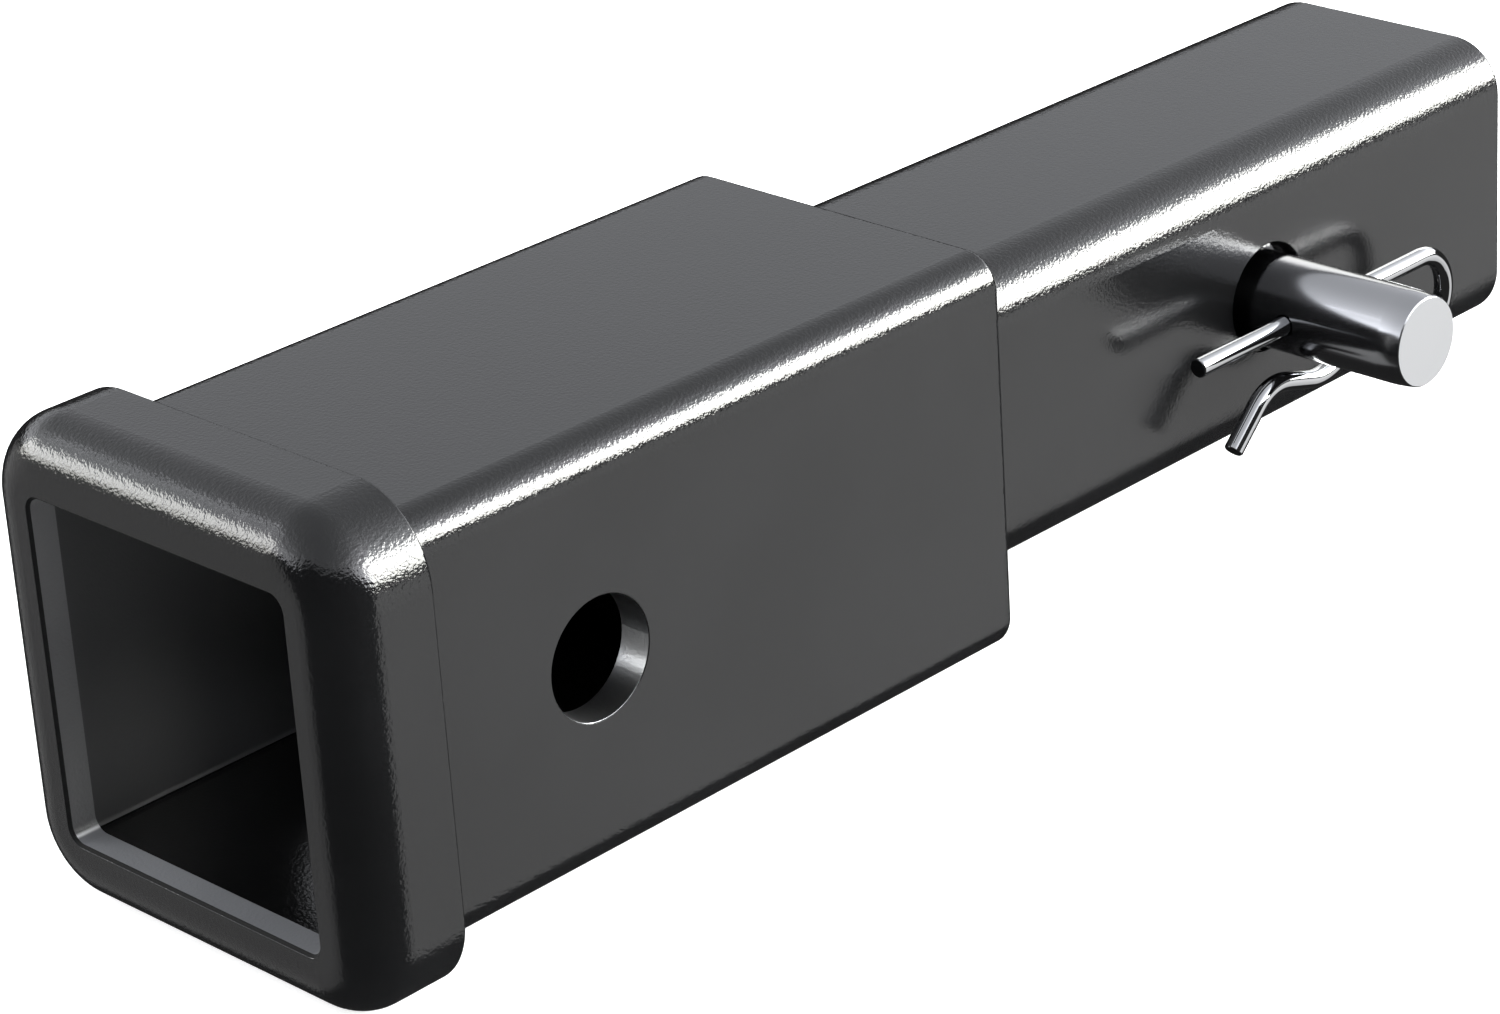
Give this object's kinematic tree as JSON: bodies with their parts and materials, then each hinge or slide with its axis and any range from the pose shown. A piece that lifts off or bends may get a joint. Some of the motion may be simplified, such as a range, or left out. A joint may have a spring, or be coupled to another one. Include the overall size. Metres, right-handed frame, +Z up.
{
  "type": "hitch receiver extender",
  "caption": "Square receiver tube with a rounded mouth collar, welded to a narrower hollow shank that a bent round pin crosses, held by a wire spring clip.",
  "frame": {"origin": "centre of the mouth, in the plane of the collar's front face", "axes": "+X along the axis from the mouth to the free end of the shank, +Y towards the pin's bent head, -Y towards the pin's clipped end, +Z up"},
  "size_m": [0.2729, 0.113, 0.0756],
  "materials": {
    "powder_coated_steel": "semi-gloss black powder coat with a fine orange-peel grain",
    "chromed_pin": "bright chrome plating, satin on the cut end",
    "chromed_wire": "bright chrome plating, dark on the cut ends"
  },
  "bodies": {
    "extender": {"receiver_tube": "powder_coated_steel", "mouth_collar": "powder_coated_steel", "shank_tube": "powder_coated_steel", "rear_weld": "powder_coated_steel"},
    "pin": {"hitch_pin": "chromed_pin"},
    "clip": {"pin_clip": "chromed_wire"}
  },
  "joints": [
    {"name": "pin_slide", "type": "slide", "parent": "extender", "child": "pin", "axis": [0, -1, 0], "range_m": [-0.0067, 0.0111]},
    {"name": "clip_slide", "type": "slide", "parent": "pin", "child": "clip", "axis": [1, 0, 0], "range_m": [0, 0.0385]}
  ]
}
